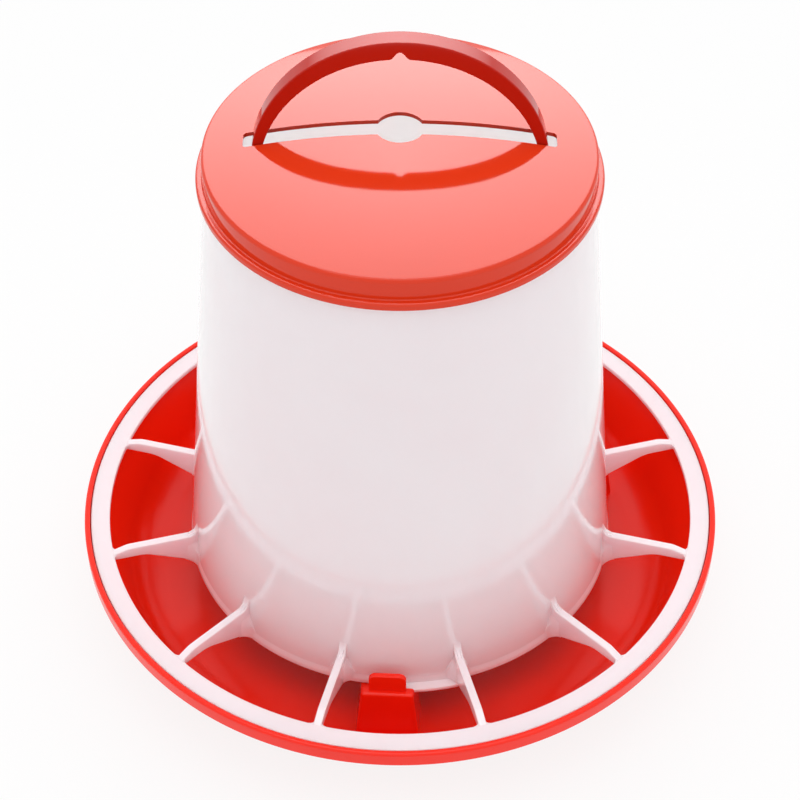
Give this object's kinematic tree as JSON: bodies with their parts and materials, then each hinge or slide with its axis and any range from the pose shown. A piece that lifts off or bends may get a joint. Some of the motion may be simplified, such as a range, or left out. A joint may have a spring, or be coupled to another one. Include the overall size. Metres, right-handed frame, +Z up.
{
  "type": "poultry feeder",
  "caption": "Gravity feeder for poultry: red pan with a moulded feeding grille, white cone-shaped hopper, domed lid with a slot, and an arch handle to carry or hang it.",
  "frame": {"origin": "centre of the tray's underside, on the feeder's axis", "axes": "+Z up along the axis of the hopper; -Y is the front, where a lug of the tray faces; the handle's arch lies in the XZ plane"},
  "size_m": [0.27, 0.27, 0.2751],
  "materials": {
    "tray": "glossy red moulded plastic",
    "hopper": "glossy milky white moulded plastic",
    "handle": "glossy red moulded plastic",
    "lid": "high-gloss red moulded plastic"
  },
  "bodies": {
    "tray": {"tray": "tray"},
    "hopper": {"hopper": "hopper", "handle": "handle"},
    "lid": {"lid": "lid"}
  },
  "joints": [
    {"name": "hopper_twist", "type": "hinge", "parent": "tray", "child": "hopper", "pos_m": [0, 0, 0], "axis": [0, 0, 1], "range_deg": [0, 4.4]},
    {"name": "lid_lift", "type": "slide", "parent": "hopper", "child": "lid", "axis": [0, 0, 1], "range_m": [0, 0.066]}
  ]
}
